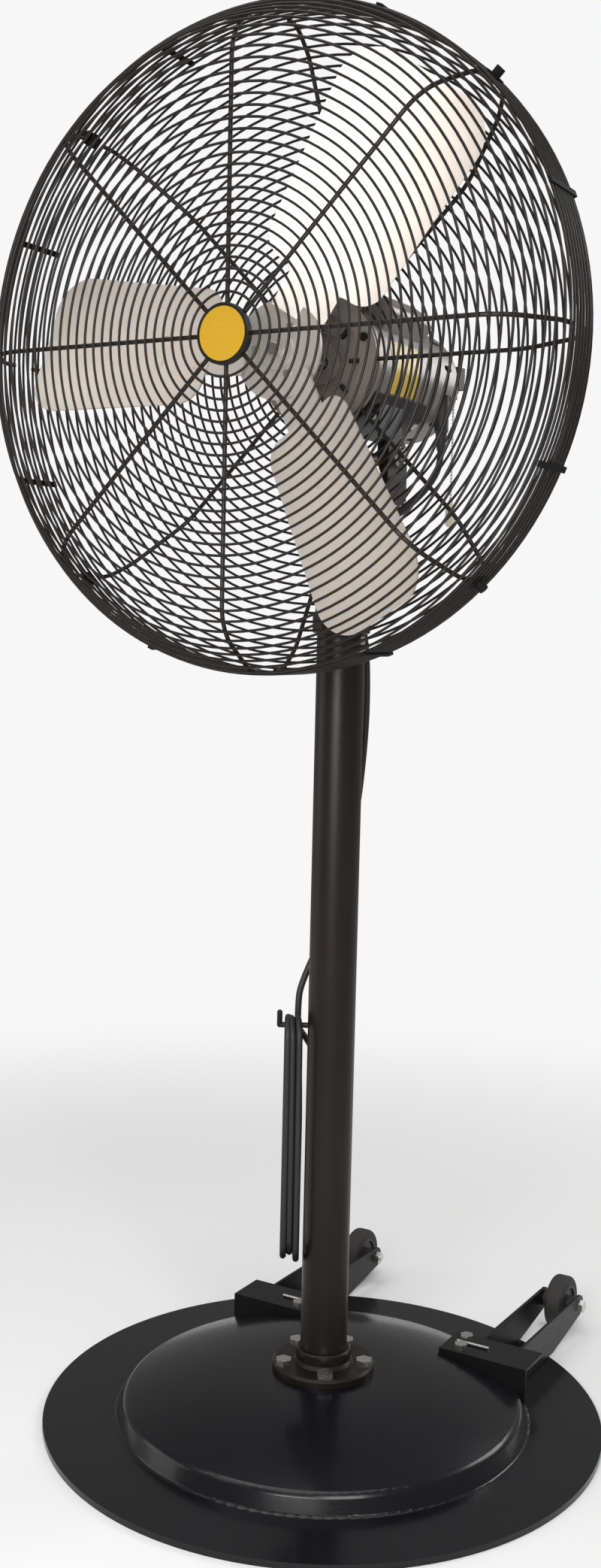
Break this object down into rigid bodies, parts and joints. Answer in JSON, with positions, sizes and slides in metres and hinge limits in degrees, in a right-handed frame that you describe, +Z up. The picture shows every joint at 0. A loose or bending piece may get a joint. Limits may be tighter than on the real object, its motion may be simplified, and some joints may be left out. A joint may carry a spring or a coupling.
{
  "type": "pedestal_fan",
  "caption": "Industrial pedestal fan with a wire cage, three blades, a tilting motor head on a swivel column, a round domed base and two tip-back wheels",
  "frame": {"origin": "pole axis at the floor, under the middle of the round base", "axes": "+X to the right as seen from the front, +Y to the back, +Z up; the fan blows towards -Y"},
  "size_m": [0.738, 0.815, 1.701],
  "materials": {
    "black_enamel": "gloss black enamel",
    "brown_enamel": "semi-gloss brown-black enamel",
    "grey_enamel": "satin taupe grey enamel",
    "guard_wire": "satin dark wire coating",
    "zinc_steel": "zinc plated",
    "steel": "ground steel",
    "blade_alu": "satin",
    "spider_steel": "satin black",
    "copper": "enamelled winding wire",
    "bronze": "sintered bronze",
    "badge_black": "black ring",
    "badge_gold": "bare gold-yellow disc",
    "label_yellow": "bare yellow plate",
    "black_plastic": "moulded black",
    "ivory": "ivory",
    "wheel_rubber": "solid rubber",
    "cord_rubber": "black cord jacket"
  },
  "bodies": {
    "stand": {"base": "black_enamel", "column_flange": "brown_enamel", "flange_bolts": "zinc_steel", "column": "brown_enamel", "column_collar": "brown_enamel", "set_bolts": "zinc_steel", "stem_bushings": "bronze", "wheel_bracket_l": "brown_enamel", "wheel_bracket_r": "brown_enamel", "wheel_axles": "zinc_steel", "bracket_bolts": "zinc_steel", "cord_hook": "brown_enamel", "cord_lower": "cord_rubber", "cord_hank": "cord_rubber", "cord_tail": "cord_rubber", "plug": "black_plastic"},
    "swivel": {"swivel_stem": "brown_enamel", "tilt_yoke": "brown_enamel", "pivot_bolt": "zinc_steel", "friction_washers": "zinc_steel", "cord_clip": "zinc_steel"},
    "head": {"motor_cradle": "brown_enamel", "cradle_screws": "zinc_steel", "motor_shell": "grey_enamel", "motor_front_bell": "grey_enamel", "motor_rear_bell": "grey_enamel", "motor_through_bolts": "zinc_steel", "stator": "steel", "windings": "copper", "motor_bearings": "steel", "capacitor": "black_plastic", "capacitor_cover": "grey_enamel", "pull_switch": "black_plastic", "cord_gland": "black_plastic", "motor_label": "label_yellow", "guard_mount_ring": "guard_wire", "rear_guard": "guard_wire", "rear_guard_rim": "guard_wire", "front_guard": "guard_wire", "front_guard_rim": "guard_wire", "guard_clips": "guard_wire", "guard_screws": "zinc_steel", "badge_ring": "badge_black", "badge_disc": "badge_gold", "cord_upper": "cord_rubber"},
    "fan": {"rotor": "steel", "shaft": "steel", "fan_hub": "spider_steel", "hub_screws": "zinc_steel", "fan_spider": "spider_steel", "blade_1": "blade_alu", "blade_2": "blade_alu", "blade_3": "blade_alu", "blade_rivets": "blade_alu"},
    "chain": {"pull_chain": "zinc_steel", "chain_pull": "ivory"},
    "wheel_l": {"wheel_tyre_l": "wheel_rubber", "wheel_hub_l": "black_plastic"},
    "wheel_r": {"wheel_tyre_r": "wheel_rubber", "wheel_hub_r": "black_plastic"}
  },
  "joints": [
    {"name": "head_swivel", "type": "hinge", "parent": "stand", "child": "swivel", "pos_m": [0, 0, 1.036], "axis": [0, 0, 1], "range_deg": [-45, 45], "deforming": ["cord_lower"]},
    {"name": "head_tilt", "type": "hinge", "parent": "swivel", "child": "head", "pos_m": [0, 0, 1.226], "axis": [1, 0, 0], "range_deg": [-25, 10], "deforming": ["cord_upper"]},
    {"name": "fan_spin", "type": "hinge", "parent": "head", "child": "fan", "pos_m": [0, 0, 1.332], "axis": [0, 1, 0], "continuous": true},
    {"name": "chain_slide", "type": "slide", "parent": "head", "child": "chain", "axis": [0, 0, -1], "range_m": [0, 0.008], "stiffness_N_per_m": 400, "springref_m": -0.002},
    {"name": "wheel_l_spin", "type": "hinge", "parent": "stand", "child": "wheel_l", "pos_m": [-0.167, 0.417, 0.041], "axis": [1, 0, 0], "continuous": true},
    {"name": "wheel_r_spin", "type": "hinge", "parent": "stand", "child": "wheel_r", "pos_m": [0.167, 0.417, 0.041], "axis": [1, 0, 0], "continuous": true}
  ]
}
